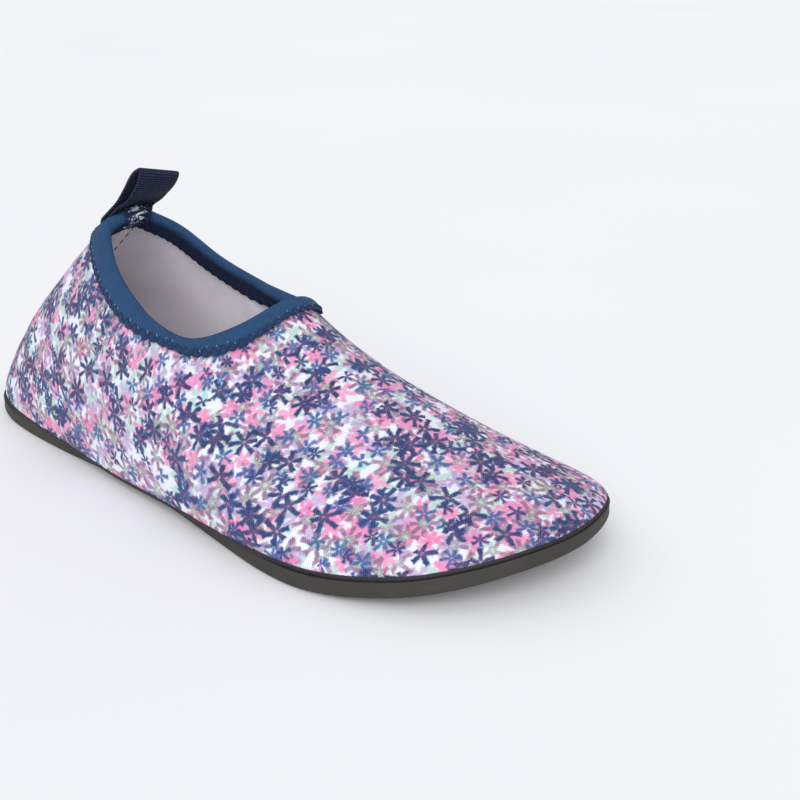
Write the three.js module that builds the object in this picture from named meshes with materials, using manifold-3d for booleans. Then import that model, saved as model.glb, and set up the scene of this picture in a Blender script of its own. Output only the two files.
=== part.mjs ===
// A right-foot water shoe: rubber outsole, seam band, insole, stretch upper, collar binding, pull loop
// and heel tape.
// Millimetres, +Z up. The toe points along +X and the big toe's side is +Y.
import * as THREE from 'three';
import { mergeVertices } from 'three/addons/utils/BufferGeometryUtils.js';
import Module from 'manifold-3d';

const wasm = await Module();
wasm.setup();

// Outsole
const length = 240; // heel to toe
const ballWidth = 94; // across the ball of the foot
const soleThickness = 4.6; // at the heel and the forefoot
const soleRim = 0.9; // how far the outsole stands proud of the upper's edge
const waistTuck = 3.6; // how far it lies inside that edge at the waist
const soleRounding = 1.5; // rounding of the lower edge
const toeSpring = 11; // the toe's lift off the floor

// Tread of the outsole
const grooveWidth = 2.2;
const grooveDepth = 1.3;
const grooveBow = 5; // how far a groove's middle runs ahead of its ends
const treadBorder = 8; // uncut border round the tread

// Upper
const heelHeight = 74; // back of the collar above the outsole
const instepHeight = 57; // front of the collar above the outsole
const quarterHeight = 47; // lowest point of the collar at the sides
const openingLength = 72; // collar from back to front
const openingWidth = 56; // collar across its middle
const heelRake = 62; // how far the collar's back stands ahead of the heel
const sideBulge = 5; // how far the upper swells beyond its own lower edge
const wall = 1.8; // stretch fabric and lining together

// Trim
const clearance = 0.3; // between pieces that meet
const seamHeight = 1.3;
const seamWidth = 5.5;
const insoleThickness = 2.4;
const bindingWidth = 6.5; // height of the binding on either side of the collar
const bindingThickness = 1;

// Pull loop and heel tape
const loopWidth = 14.5;
const loopThickness = 1.1;
const loopRise = 14; // above the collar
const loopLean = 14.5; // forward lean of its fold
const loopOpening = 3.2; // between its two legs
const loopTwist = 18; // degrees from its seat to its fold

// Smoothness of the solids
const stepsAround = 88;
const stepsUp = 9;
const stepsAcross = 6; // along a groove
const loopSteps = 36; // along the pull loop
const tapeRows = 12; // along the heel tape
const tapeColumns = 6; // across it

// The shoe is drawn through the same sections in three tables, from the heel's back to the toe's tip.
// The upper's lower edge: at is a share of the length, the sides are shares of the ball width.
const footSections = [
  { name: 'heelBack', at: 0, lateral: 0, medial: 0 },
  { name: 'heelCorner', at: 0.022, lateral: 0.175, medial: 0.175 },
  { name: 'heelSide', at: 0.085, lateral: 0.275, medial: 0.28 },
  { name: 'heelFront', at: 0.2, lateral: 0.345, medial: 0.325 },
  { name: 'waist', at: 0.34, lateral: 0.395, medial: 0.32 },
  { name: 'instep', at: 0.48, lateral: 0.44, medial: 0.33 },
  { name: 'joint', at: 0.61, lateral: 0.495, medial: 0.385 },
  { name: 'ball', at: 0.735, lateral: 0.51, medial: 0.46 },
  { name: 'smallToe', at: 0.845, lateral: 0.46, medial: 0.475 },
  { name: 'toeSide', at: 0.93, lateral: 0.325, medial: 0.41 },
  { name: 'toeCorner', at: 0.98, lateral: 0.145, medial: 0.275 },
  { name: 'toeTip', at: 1, lateral: -0.055, medial: 0.055 },
];

// The collar: at is a share of the opening's length, the sides are shares of its width. The tops go
// from the quarter's height at 0 to the height of the heel or the instep at 1.
const collarSections = [
  { name: 'heelBack', at: 0, lateral: -0.05, medial: 0.05, lateralTop: 1, medialTop: 1 },
  { name: 'heelCorner', at: 0.02, lateral: 0.165, medial: 0.15, lateralTop: 0.95, medialTop: 0.91 },
  { name: 'heelSide', at: 0.09, lateral: 0.3, medial: 0.29, lateralTop: 0.84, medialTop: 0.7 },
  { name: 'heelFront', at: 0.23, lateral: 0.41, medial: 0.4, lateralTop: 0.6, medialTop: 0.36 },
  { name: 'waist', at: 0.41, lateral: 0.49, medial: 0.455, lateralTop: 0.37, medialTop: 0.15 },
  { name: 'instep', at: 0.59, lateral: 0.505, medial: 0.45, lateralTop: 0.15, medialTop: 0.05 },
  { name: 'joint', at: 0.75, lateral: 0.45, medial: 0.41, lateralTop: 0, medialTop: 0.12 },
  { name: 'ball', at: 0.87, lateral: 0.35, medial: 0.32, lateralTop: 0.2, medialTop: 0.42 },
  { name: 'smallToe', at: 0.94, lateral: 0.25, medial: 0.235, lateralTop: 0.5, medialTop: 0.66 },
  { name: 'toeSide', at: 0.98, lateral: 0.15, medial: 0.145, lateralTop: 0.78, medialTop: 0.87 },
  { name: 'toeCorner', at: 0.996, lateral: 0.065, medial: 0.065, lateralTop: 0.94, medialTop: 0.97 },
  { name: 'toeTip', at: 1, lateral: 0, medial: 0, lateralTop: 1, medialTop: 1 },
];

// The ribs between them: out is a share of the side bulge, rise and drop of the rib's height, spread of
// its reach. The tuck goes from the outsole's full rim at 0 to its full tuck under the upper at 1.
const ribSections = [
  { name: 'heelBack', out: 0.3, rise: 0.12, spread: 0.42, drop: 0.3, tuck: 0 },
  { name: 'heelCorner', out: 0.3, rise: 0.12, spread: 0.46, drop: 0.3, tuck: 0 },
  { name: 'heelSide', out: 0.4, rise: 0.18, spread: 0.5, drop: 0.28, tuck: 0.04 },
  { name: 'heelFront', out: 0.8, rise: 0.24, spread: 0.6, drop: 0.25, tuck: 0.5 },
  { name: 'waist', out: 1, rise: 0.2, spread: 0.7, drop: 0.2, tuck: 1 },
  { name: 'instep', out: 1, rise: 0.2, spread: 0.78, drop: 0.15, tuck: 1 },
  { name: 'joint', out: 0.8, rise: 0.2, spread: 0.66, drop: 0.28, tuck: 0.75 },
  { name: 'ball', out: 0.6, rise: 0.16, spread: 0.46, drop: 0.52, tuck: 0 },
  { name: 'smallToe', out: 0.4, rise: 0.13, spread: 0.39, drop: 0.65, tuck: 0 },
  { name: 'toeSide', out: 0.25, rise: 0.11, spread: 0.38, drop: 0.68, tuck: 0 },
  { name: 'toeCorner', out: 0.2, rise: 0.11, spread: 0.38, drop: 0.68, tuck: 0 },
  { name: 'toeTip', out: 0.2, rise: 0.12, spread: 0.38, drop: 0.68, tuck: 0 },
];

// The outsole from heel to toe: lift is a share of the toe spring, thick of the sole's thickness.
const soleProfile = [
  { at: 0, lift: 0.16, thick: 1 },
  { at: 0.1, lift: 0, thick: 1 },
  { at: 0.24, lift: 0, thick: 1 },
  { at: 0.4, lift: 0.06, thick: 0.45 },
  { at: 0.62, lift: 0, thick: 1 },
  { at: 0.74, lift: 0, thick: 1 },
  { at: 0.87, lift: 0.3, thick: 1 },
  { at: 1, lift: 1, thick: 0.95 },
];

// Places of the tread's grooves, as shares of the length
const grooves = [0.1, 0.15, 0.2, 0.6, 0.65, 0.7, 0.75, 0.8, 0.85];

const column = (table, name) => table.map((row) => row[name]);

// One value for each station of the ring: heel, lateral side, toe, medial side
const ring = (lateral, medial) => [...lateral, ...medial.slice(1, -1).reverse()];

// A smooth closed curve through the ring's values, read at turn 0 to 1
function smoothRing(values) {
  const count = values.length;
  let slopes = values.map(() => 0);
  for (let pass = 0; pass < 40; pass += 1) {
    slopes = slopes.map((slope, i) => {
      const next = (i + 1) % count;
      const last = (i + count - 1) % count;
      return (3 * (values[next] - values[last]) - slopes[next] - slopes[last]) / 4;
    });
  }
  return (turn) => {
    const place = (turn - Math.floor(turn)) * count;
    const i = Math.floor(place) % count;
    const j = (i + 1) % count;
    const f = place - Math.floor(place);
    const g = 1 - f;
    return (
      g * g * (1 + 2 * f) * values[i] + g * g * f * slopes[i]
      + f * f * (3 - 2 * f) * values[j] - f * f * g * slopes[j]
    );
  };
}

// A smooth curve through a table's column that stays level between equal values
function smoothColumn(rows, column) {
  const rate = (i) => (rows[i + 1][column] - rows[i][column]) / (rows[i + 1].at - rows[i].at);
  const slopes = rows.map((row, i) => {
    if (i === 0) return rate(0);
    if (i === rows.length - 1) return rate(i - 1);
    const product = rate(i - 1) * rate(i);
    return product > 0 ? (2 * product) / (rate(i - 1) + rate(i)) : 0;
  });
  return (at) => {
    const i = Math.max(0, rows.findLastIndex((row, k) => row.at <= at && k < rows.length - 1));
    const span = rows[i + 1].at - rows[i].at;
    const f = Math.min(Math.max((at - rows[i].at) / span, 0), 1);
    const g = 1 - f;
    return (
      g * g * (1 + 2 * f) * rows[i][column] + g * g * f * span * slopes[i]
      + f * f * (3 - 2 * f) * rows[i + 1][column] - f * f * g * span * slopes[i + 1]
    );
  };
}

const lift = smoothColumn(soleProfile, 'lift');
const thick = smoothColumn(soleProfile, 'thick');
const floorAt = (x) => toeSpring * lift(x / length);
const soleTopAt = (x) => floorAt(x) + soleThickness * thick(x / length);

// The tables as smooth curves round the shoe
const evenRing = (table, name) => smoothRing(ring(column(table, name), column(table, name)));
const sidedRing = (table) => {
  const lateral = column(table, 'lateral').map((share) => -share);
  return smoothRing(ring(lateral, column(table, 'medial')));
};
const footX = evenRing(footSections, 'at');
const footY = sidedRing(footSections);
const collarX = evenRing(collarSections, 'at');
const collarY = sidedRing(collarSections);
const topHeights = (name) => collarSections.map((row, i) => {
  const end = i < collarSections.length / 2 ? heelHeight : instepHeight;
  return quarterHeight + (end - quarterHeight) * row[name];
});
const collarZ = smoothRing(ring(topHeights('lateralTop'), topHeights('medialTop')));
const ribOut = evenRing(ribSections, 'out');
const ribRise = evenRing(ribSections, 'rise');
const ribSpread = evenRing(ribSections, 'spread');
const ribDrop = evenRing(ribSections, 'drop');
const tuck = evenRing(ribSections, 'tuck');

// The feather line, where the upper meets the sole
function featherPoint(turn) {
  const x = length * footX(turn);
  return new THREE.Vector3(x, ballWidth * footY(turn), soleTopAt(x) + seamHeight + 2 * clearance);
}

// The collar's edge, a closed curve that stands on the outsole's heel
function collarPoint(turn) {
  return new THREE.Vector3(
    heelRake + openingLength * collarX(turn),
    openingWidth * collarY(turn),
    soleThickness + collarZ(turn),
  );
}

// The upper's outer face: each rib is a curve in the upright plane through its two ends
function ribPoint(turn, rise) {
  const foot = featherPoint(turn);
  const top = collarPoint(turn);
  const reach = Math.hypot(foot.x - top.x, foot.y - top.y);
  const away = new THREE.Vector3((foot.x - top.x) / reach, (foot.y - top.y) / reach, 0);
  const height = top.z - foot.z;
  const low = foot.clone().addScaledVector(away, sideBulge * ribOut(turn));
  low.z += height * ribRise(turn);
  const high = top.clone().addScaledVector(away, reach * ribSpread(turn));
  high.z -= height * ribDrop(turn);
  return new THREE.CubicBezierCurve3(foot, low, high, top).getPoint(rise);
}

const nudge = 1e-3;

// Directions on the upper at one place: up the rib, and out of the face
function ribFrame(turn, rise) {
  const along = ribPoint(turn + nudge, rise).sub(ribPoint(turn - nudge, rise));
  const from = Math.max(rise - nudge, 0);
  const to = Math.min(rise + nudge, 1);
  const up = ribPoint(turn, to).sub(ribPoint(turn, from)).normalize();
  const out = along.cross(up).normalize();
  return { up, out };
}

// The upper's outer face moved out by an offset; its lower edge moves level
function skinPoint(turn, rise, offset) {
  const { out } = ribFrame(turn, rise);
  if (rise === 0) {
    out.z = 0;
    out.normalize();
  }
  return ribPoint(turn, rise).addScaledVector(out, offset);
}

// The place on the rib that lies a distance below the collar's edge
function riseBelow(turn, distance) {
  let rise = 1;
  let point = ribPoint(turn, rise);
  let travelled = 0;
  while (travelled < distance) {
    rise -= nudge;
    const next = ribPoint(turn, rise);
    travelled += next.distanceTo(point);
    point = next;
  }
  return rise;
}

const bindingEdge = (turn) => riseBelow(turn, bindingWidth);

// A point of the outline moved out level by an offset
function outlinePoint(turn, offset, z) {
  const along = featherPoint(turn + nudge).sub(featherPoint(turn - nudge));
  const out = new THREE.Vector3(along.y, -along.x, 0).normalize();
  const point = featherPoint(turn).addScaledVector(out, offset);
  point.z = z(point.x);
  return point;
}

// A closed solid from loops of points round the shoe. Its section is a closed path, or else the first
// and last loops are bridged from side to side.
function loopSolid(loops, closedSection) {
  const count = stepsAround;
  const positions = [];
  for (const loop of loops) {
    for (let i = 0; i < count; i += 1) positions.push(...loop(i / count).toArray());
  }
  const index = [];
  const bands = closedSection ? loops.length : loops.length - 1;
  for (let j = 0; j < bands; j += 1) {
    const low = j * count;
    const high = ((j + 1) % loops.length) * count;
    for (let i = 0; i < count; i += 1) {
      const k = (i + 1) % count;
      index.push(low + i, low + k, high + k, low + i, high + k, high + i);
    }
  }
  if (!closedSection) {
    const top = (loops.length - 1) * count;
    for (let i = 0; i < count / 2; i += 1) {
      const a = i;
      const b = i + 1;
      const c = (count - i - 1) % count;
      const d = (count - i) % count;
      if (a !== d) {
        index.push(a, d, c);
        index.push(top + a, top + c, top + d);
      }
      if (b !== c) {
        index.push(a, c, b);
        index.push(top + a, top + b, top + c);
      }
    }
  }
  const geometry = new THREE.BufferGeometry();
  geometry.setAttribute('position', new THREE.Float32BufferAttribute(positions, 3));
  geometry.setIndex(index);
  return geometry;
}

// A solid swept through sections of the same number of points, closed at both ends. A section goes
// along one face and comes back along the other.
function barSolid(frames) {
  const count = frames[0].length;
  const index = [];
  frames.slice(1).forEach((frame, i) => {
    for (let k = 0; k < count; k += 1) {
      const a = i * count + k;
      const b = i * count + ((k + 1) % count);
      index.push(a, b, b + count, a, b + count, a + count);
    }
  });
  const end = (frames.length - 1) * count;
  for (let a = 0; a < count / 2 - 1; a += 1) {
    const b = a + 1;
    const c = count - 1 - b;
    const d = count - 1 - a;
    index.push(a, c, b, a, d, c);
    index.push(end + a, end + b, end + c, end + a, end + c, end + d);
  }
  const geometry = new THREE.BufferGeometry();
  const positions = frames.flat().flatMap((point) => point.toArray());
  geometry.setAttribute('position', new THREE.Float32BufferAttribute(positions, 3));
  geometry.setIndex(index);
  return geometry;
}

function toManifold(geometry) {
  const merged = mergeVertices(geometry);
  return new wasm.Manifold(new wasm.Mesh({
    numProp: 3,
    vertProperties: new Float32Array(merged.attributes.position.array),
    triVerts: new Uint32Array(merged.index.array),
  }));
}

function fromManifold(solid) {
  const mesh = solid.getMesh();
  const geometry = new THREE.BufferGeometry();
  geometry.setAttribute('position', new THREE.BufferAttribute(mesh.vertProperties, 3));
  geometry.setIndex(new THREE.BufferAttribute(mesh.triVerts, 1));
  return geometry;
}

// Where the outline of one side passes x, as a turn between the heel's turn and the toe's
function turnAt(x, heelTurn, toeTurn) {
  let before = heelTurn;
  let after = toeTurn;
  for (let halving = 0; halving < 30; halving += 1) {
    const middle = (before + after) / 2;
    if (length * footX(middle) < x) before = middle;
    else after = middle;
  }
  return before;
}

// A bowed groove across the tread, from border to border
function grooveBar(place) {
  const x = place * length;
  const lateral = ballWidth * footY(turnAt(x, 0, 0.5)) + treadBorder;
  const medial = ballWidth * footY(turnAt(x, 1, 0.5)) - treadBorder;
  const frames = [];
  for (let i = 0; i <= stepsAcross; i += 1) {
    const share = i / stepsAcross;
    const y = THREE.MathUtils.lerp(lateral, medial, share);
    const back = x + grooveBow * Math.sin(Math.PI * share) - grooveWidth / 2;
    const front = back + grooveWidth;
    const roof = floorAt(back) + grooveDepth;
    frames.push([
      new THREE.Vector3(front, y, -soleThickness),
      new THREE.Vector3(back, y, -soleThickness),
      new THREE.Vector3(back, y, roof),
      new THREE.Vector3(front, y, roof),
    ]);
  }
  return barSolid(frames);
}

function makeOutsole() {
  const rim = (turn) => THREE.MathUtils.lerp(soleRim, -waistTuck, tuck(turn));
  const edge = (inset, z) => (turn) => outlinePoint(turn, rim(turn) - inset, z);
  const rounding = (share) => soleRounding * (1 - Math.sin(share * Math.PI / 2));
  const body = toManifold(loopSolid([
    edge(soleRounding, floorAt),
    edge(rounding(0.5), (x) => floorAt(x) + rounding(0.5)),
    edge(0, (x) => floorAt(x) + soleRounding),
    edge(0, soleTopAt),
  ], false));
  return fromManifold(grooves.reduce((solid, place) => solid.subtract(toManifold(grooveBar(place))), body));
}

function makeSeam() {
  const bottom = (x) => soleTopAt(x) + clearance;
  const top = (x) => bottom(x) + seamHeight;
  const outer = soleRim / 2;
  return loopSolid([
    (turn) => outlinePoint(turn, outer - seamWidth, bottom),
    (turn) => outlinePoint(turn, outer, bottom),
    (turn) => outlinePoint(turn, outer, top),
    (turn) => outlinePoint(turn, outer - seamWidth, top),
  ], true);
}

function makeInsole() {
  const bottom = (x) => soleTopAt(x) + clearance;
  const top = (x) => bottom(x) + insoleThickness;
  const edge = soleRim / 2 - seamWidth - clearance;
  return loopSolid([
    (turn) => outlinePoint(turn, edge, bottom),
    (turn) => outlinePoint(turn, edge, top),
  ], false);
}

// The upper is a wall of even thickness, open at the collar and underneath
function makeUpper() {
  const loops = [];
  for (let j = 0; j <= stepsUp; j += 1) {
    loops.push((turn) => skinPoint(turn, (bindingEdge(turn) * j) / stepsUp, 0));
  }
  loops.push((turn) => skinPoint(turn, 1, 0));
  loops.push((turn) => skinPoint(turn, 1, -wall));
  for (let j = stepsUp; j >= 0; j -= 1) {
    loops.push((turn) => skinPoint(turn, (bindingEdge(turn) * j) / stepsUp, -wall));
  }
  return loopSolid(loops, true);
}

// The binding folds over the collar's edge, from the upper's own outer face to its inner one
function makeBinding() {
  const outside = clearance;
  const inside = -wall - clearance;
  const half = bindingThickness / 2;
  const onFace = (offset) => (turn) => skinPoint(turn, bindingEdge(turn), offset);
  const atEdge = (offset, above) => (turn) => {
    const { up, out } = ribFrame(turn, 1);
    return collarPoint(turn).addScaledVector(out, offset).addScaledVector(up, above);
  };
  return loopSolid([
    onFace(outside + bindingThickness),
    atEdge(outside + bindingThickness, 0),
    atEdge(outside + half, clearance + half),
    atEdge(-wall / 2, clearance + bindingThickness),
    atEdge(inside - half, clearance + half),
    atEdge(inside - bindingThickness, 0),
    onFace(inside - bindingThickness),
    onFace(inside),
    atEdge(inside, 0),
    atEdge(inside, clearance),
    atEdge(outside, clearance),
    atEdge(outside, 0),
    onFace(outside),
  ], true);
}

// The pull loop: webbing folded into a loop, both legs on the binding's outside at the heel's back
function makeLoop() {
  const { up, out } = ribFrame(0, 1);
  const edge = collarPoint(0);
  const seat = clearance * 2 + bindingThickness + loopThickness / 2;
  const onHeel = (offset, above) => {
    const point = edge.clone().addScaledVector(out, seat + offset);
    return point.addScaledVector(up, above);
  };
  const seatEnd = (offset) => skinPoint(0, bindingEdge(0), seat + offset);
  const outerLeg = loopThickness + clearance;
  const above = clearance + bindingThickness + loopThickness;
  const back = out.clone().setZ(0).normalize();
  const fold = edge.clone().addScaledVector(back, -loopLean).setZ(edge.z + loopRise);
  const lean = fold.clone().sub(edge).normalize();
  const apart = back.clone().addScaledVector(lean, -back.dot(lean)).normalize();
  const near = (share, offset) => edge.clone().lerp(fold, share).addScaledVector(apart, offset);
  const path = new THREE.CatmullRomCurve3([
    seatEnd(0),
    onHeel(0, 0),
    onHeel(0, above),
    near(0.4, 0),
    near(0.8, 0),
    near(1, loopOpening / 2),
    near(0.8, loopOpening),
    near(0.4, loopOpening),
    onHeel(outerLeg, above),
    onHeel(outerLeg, 0),
    seatEnd(outerLeg),
  ]);
  const frames = [];
  for (let i = 0; i <= loopSteps; i += 1) {
    const point = path.getPoint(i / loopSteps);
    const along = path.getTangent(i / loopSteps);
    const risen = THREE.MathUtils.clamp((point.z - edge.z - above) / loopRise, 0, 1);
    const width = new THREE.Vector3(back.y, -back.x, 0);
    width.applyAxisAngle(lean, -THREE.MathUtils.degToRad(loopTwist) * risen);
    const side = along.clone().cross(width).setLength(loopThickness / 2);
    width.setLength(loopWidth / 2);
    frames.push([
      point.clone().sub(side).sub(width),
      point.clone().sub(side).add(width),
      point.clone().add(side).add(width),
      point.clone().add(side).sub(width),
    ]);
  }
  return barSolid(frames);
}

// The heel tape: the same webbing on the upper's back, from the binding down to the seam
function makeTape() {
  const top = riseBelow(0, bindingWidth + clearance);
  const frames = [];
  for (let j = 0; j <= tapeRows; j += 1) {
    const rise = (top * j) / tapeRows;
    const pace = ribPoint(nudge, rise).distanceTo(ribPoint(-nudge, rise)) / (2 * nudge);
    const outside = [];
    const inside = [];
    for (let i = 0; i <= tapeColumns; i += 1) {
      const turn = (loopWidth / pace) * (i / tapeColumns - 0.5);
      outside.push(skinPoint(turn, rise, clearance + loopThickness));
      inside.unshift(skinPoint(turn, rise, clearance));
    }
    frames.push([...outside, ...inside]);
  }
  return barSolid(frames);
}

const finishes = {
  outsole: { color: 0x46423c, roughness: 0.85, metalness: 0 },
  sole_seam: { color: 0x1d1a1e, roughness: 0.7, metalness: 0 },
  insole: { color: 0xb9b0bd, roughness: 0.9, metalness: 0 },
  upper: { color: 0xb9a6cc, roughness: 0.75, metalness: 0 },
  collar_binding: { color: 0x2f5185, roughness: 0.8, metalness: 0 },
  pull_loop: { color: 0x22305a, roughness: 0.8, metalness: 0 },
  heel_tape: { color: 0x22305a, roughness: 0.8, metalness: 0 },
};

const pieces = {
  outsole: makeOutsole(),
  sole_seam: makeSeam(),
  insole: makeInsole(),
  upper: makeUpper(),
  collar_binding: makeBinding(),
  pull_loop: makeLoop(),
  heel_tape: makeTape(),
};

// The shoe stands on the floor with its middle over the origin
const shoe = new THREE.Group();
for (const [name, geometry] of Object.entries(pieces)) {
  const mesh = new THREE.Mesh(geometry, new THREE.MeshStandardMaterial(finishes[name]));
  mesh.name = name;
  shoe.add(mesh);
}
const box = new THREE.Box3().setFromObject(shoe);
const middle = box.getCenter(new THREE.Vector3());
shoe.position.set(-middle.x, -middle.y, -box.min.z);

export default shoe;
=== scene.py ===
import math
import random
from bisect import bisect_right
from functools import lru_cache

import bmesh
import bpy
from mathutils import Matrix, Vector, noise


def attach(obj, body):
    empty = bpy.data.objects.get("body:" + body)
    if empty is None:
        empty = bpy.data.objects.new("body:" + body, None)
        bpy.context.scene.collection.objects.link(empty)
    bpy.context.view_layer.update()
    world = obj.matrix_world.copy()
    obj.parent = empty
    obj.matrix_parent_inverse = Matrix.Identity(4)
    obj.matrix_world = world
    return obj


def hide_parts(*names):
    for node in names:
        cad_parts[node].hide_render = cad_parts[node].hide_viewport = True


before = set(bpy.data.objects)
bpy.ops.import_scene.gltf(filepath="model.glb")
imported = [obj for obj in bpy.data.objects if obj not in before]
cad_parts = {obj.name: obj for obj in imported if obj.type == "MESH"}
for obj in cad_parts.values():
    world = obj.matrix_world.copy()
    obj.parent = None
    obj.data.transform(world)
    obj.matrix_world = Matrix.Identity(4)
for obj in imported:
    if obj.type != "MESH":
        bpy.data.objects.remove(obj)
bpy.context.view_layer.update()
print("frame loaded:", ", ".join(sorted(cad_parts)))

# The shoe's own sizes in millimetres, from the heel's back and the floor
last = {
    "length": 240.0,
    "ballWidth": 94.0,
    "soleThickness": 4.6,
    "toeSpring": 11.0,
    "heelHeight": 74.0,
    "instepHeight": 57.0,
    "quarterHeight": 47.0,
    "openingLength": 72.0,
    "openingWidth": 56.0,
    "heelRake": 62.0,
    "sideBulge": 5.0,
    "wall": 1.8,
    "clearance": 0.3,
    "seamHeight": 1.3,
    "bindingWidth": 6.5,
    "place": (-119.75, 1.35, 0.0),  # from the heel's back to the shoe's middle
}

# Lower edge: share of the length, lateral side, medial side
footRows = [
    (0, 0, 0), (0.022, 0.175, 0.175), (0.085, 0.275, 0.28), (0.2, 0.345, 0.325),
    (0.34, 0.395, 0.32), (0.48, 0.44, 0.33), (0.61, 0.495, 0.385), (0.735, 0.51, 0.46),
    (0.845, 0.46, 0.475), (0.93, 0.325, 0.41), (0.98, 0.145, 0.275), (1, -0.055, 0.055),
]

# Collar: share of the opening, lateral side, medial side, lateral top, medial top
collarRows = [
    (0, -0.05, 0.05, 1, 1), (0.02, 0.165, 0.15, 0.95, 0.91), (0.09, 0.3, 0.29, 0.84, 0.7),
    (0.23, 0.41, 0.4, 0.6, 0.36), (0.41, 0.49, 0.455, 0.37, 0.15), (0.59, 0.505, 0.45, 0.15, 0.05),
    (0.75, 0.45, 0.41, 0, 0.12), (0.87, 0.35, 0.32, 0.2, 0.42), (0.94, 0.25, 0.235, 0.5, 0.66),
    (0.98, 0.15, 0.145, 0.78, 0.87), (0.996, 0.065, 0.065, 0.94, 0.97), (1, 0, 0, 1, 1),
]

# Ribs between the two: out, rise, spread, drop, tuck of the sole
ribRows = [
    (0.3, 0.12, 0.42, 0.3, 0), (0.3, 0.12, 0.46, 0.3, 0), (0.4, 0.18, 0.5, 0.28, 0.04),
    (0.8, 0.24, 0.6, 0.25, 0.5), (1, 0.2, 0.7, 0.2, 1), (1, 0.2, 0.78, 0.15, 1),
    (0.8, 0.2, 0.66, 0.28, 0.75), (0.6, 0.16, 0.46, 0.52, 0), (0.4, 0.13, 0.39, 0.65, 0),
    (0.25, 0.11, 0.38, 0.68, 0), (0.2, 0.11, 0.38, 0.68, 0), (0.2, 0.12, 0.38, 0.68, 0),
]

# Outsole along the shoe: place, lift, thickness
soleRows = [
    (0, 0.16, 1), (0.1, 0, 1), (0.24, 0, 1), (0.4, 0.06, 0.45),
    (0.62, 0, 1), (0.74, 0, 1), (0.87, 0.3, 1), (1, 1, 0.95),
]

nudge = 0.001  # step for directions on the skin


def smoothRing(values):
    count = len(values)
    slopes = [0.0] * count
    for step in range(40):
        slopes = [
            (3 * (values[(i + 1) % count] - values[i - 1]) - slopes[(i + 1) % count] - slopes[i - 1]) / 4
            for i in range(count)
        ]

    def at(turn):
        spot = (turn % 1.0) * count
        i = int(spot) % count
        j = (i + 1) % count
        f = spot - int(spot)
        g = 1 - f
        near = g * g * ((1 + 2 * f) * values[i] + f * slopes[i])
        return near + f * f * ((3 - 2 * f) * values[j] - g * slopes[j])

    return at


def smoothColumn(rows, column):
    rates = [
        (after[column] - before[column]) / (after[0] - before[0])
        for before, after in zip(rows, rows[1:])
    ]
    slopes = [rates[0]]
    for before, after in zip(rates, rates[1:]):
        slopes.append(2 * before * after / (before + after) if before * after > 0 else 0.0)
    slopes.append(rates[-1])

    def at(spot):
        i = max(k for k in range(len(rows) - 1) if rows[k][0] <= max(spot, 0))
        span = rows[i + 1][0] - rows[i][0]
        f = min(max((spot - rows[i][0]) / span, 0), 1)
        g = 1 - f
        near = g * g * ((1 + 2 * f) * rows[i][column] + f * span * slopes[i])
        return near + f * f * ((3 - 2 * f) * rows[i + 1][column] - g * span * slopes[i + 1])

    return at


def roundTheShoe(lateral, medial):
    return smoothRing(lateral + medial[-2:0:-1])


def evenRing(rows, column):
    values = [row[column] for row in rows]
    return roundTheShoe(values, values)


def sidedRing(rows):
    return roundTheShoe([-row[1] for row in rows], [row[2] for row in rows])


def collarTops(column):
    ends = [last["heelHeight"]] * 6 + [last["instepHeight"]] * 6
    low = last["quarterHeight"]
    return [low + (end - low) * row[column] for end, row in zip(ends, collarRows)]


lift = smoothColumn(soleRows, 1)
thick = smoothColumn(soleRows, 2)
footX = evenRing(footRows, 0)
footY = sidedRing(footRows)
collarX = evenRing(collarRows, 0)
collarY = sidedRing(collarRows)
collarZ = roundTheShoe(collarTops(3), collarTops(4))
ribOut, ribRise, ribSpread, ribDrop, soleTuck = [evenRing(ribRows, column) for column in range(5)]


def mix(a, b, share):
    return a + (b - a) * share


def ease(low, high, value):
    share = min(max((value - low) / (high - low), 0), 1)
    return share * share * (3 - 2 * share)


def floorAt(x):
    return last["toeSpring"] * lift(x / last["length"])


def soleTopAt(x):
    return floorAt(x) + last["soleThickness"] * thick(x / last["length"])


def featherPoint(turn):
    x = last["length"] * footX(turn)
    z = soleTopAt(x) + last["seamHeight"] + 2 * last["clearance"]
    return Vector((x, last["ballWidth"] * footY(turn), z))


def collarPoint(turn):
    x = last["heelRake"] + last["openingLength"] * collarX(turn)
    return Vector((x, last["openingWidth"] * collarY(turn), last["soleThickness"] + collarZ(turn)))


@lru_cache(maxsize=None)
def ribHandles(turn):
    foot = featherPoint(turn)
    top = collarPoint(turn)
    away = Vector((foot.x - top.x, foot.y - top.y, 0))
    reach = away.length
    away = away / reach
    height = Vector((0, 0, top.z - foot.z))
    low = foot + away * last["sideBulge"] * ribOut(turn) + height * ribRise(turn)
    high = top + away * reach * ribSpread(turn) - height * ribDrop(turn)
    return foot, low, high, top


def ribPoint(turn, rise):
    foot, low, high, top = ribHandles(turn)
    rest = 1 - rise
    lower = foot * rest ** 3 + low * (3 * rest * rest * rise)
    return lower + high * (3 * rest * rise * rise) + top * rise ** 3


@lru_cache(maxsize=4096)
def ribFrame(turn, rise):
    along = ribPoint(turn + nudge, rise) - ribPoint(turn - nudge, rise)
    up = ribPoint(turn, min(rise + nudge, 1)) - ribPoint(turn, max(rise - nudge, 0))
    up.normalize()
    return up, along.cross(up).normalized()


def skinPoint(turn, rise, offset):
    return ribPoint(turn, rise) + ribFrame(turn, rise)[1] * offset


def aboveEdge(turn, offset, above):
    up, out = ribFrame(turn, 1)
    return collarPoint(turn) + out * offset + up * above


@lru_cache(maxsize=None)
def riseBelow(turn, distance):
    rise = 1.0
    point = ribPoint(turn, rise)
    travelled = 0.0
    while travelled < distance:
        rise -= nudge
        below = ribPoint(turn, rise)
        travelled += (below - point).length
        point = below
    return rise


def bindingEdge(turn):
    return riseBelow(turn, last["bindingWidth"])


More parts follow.
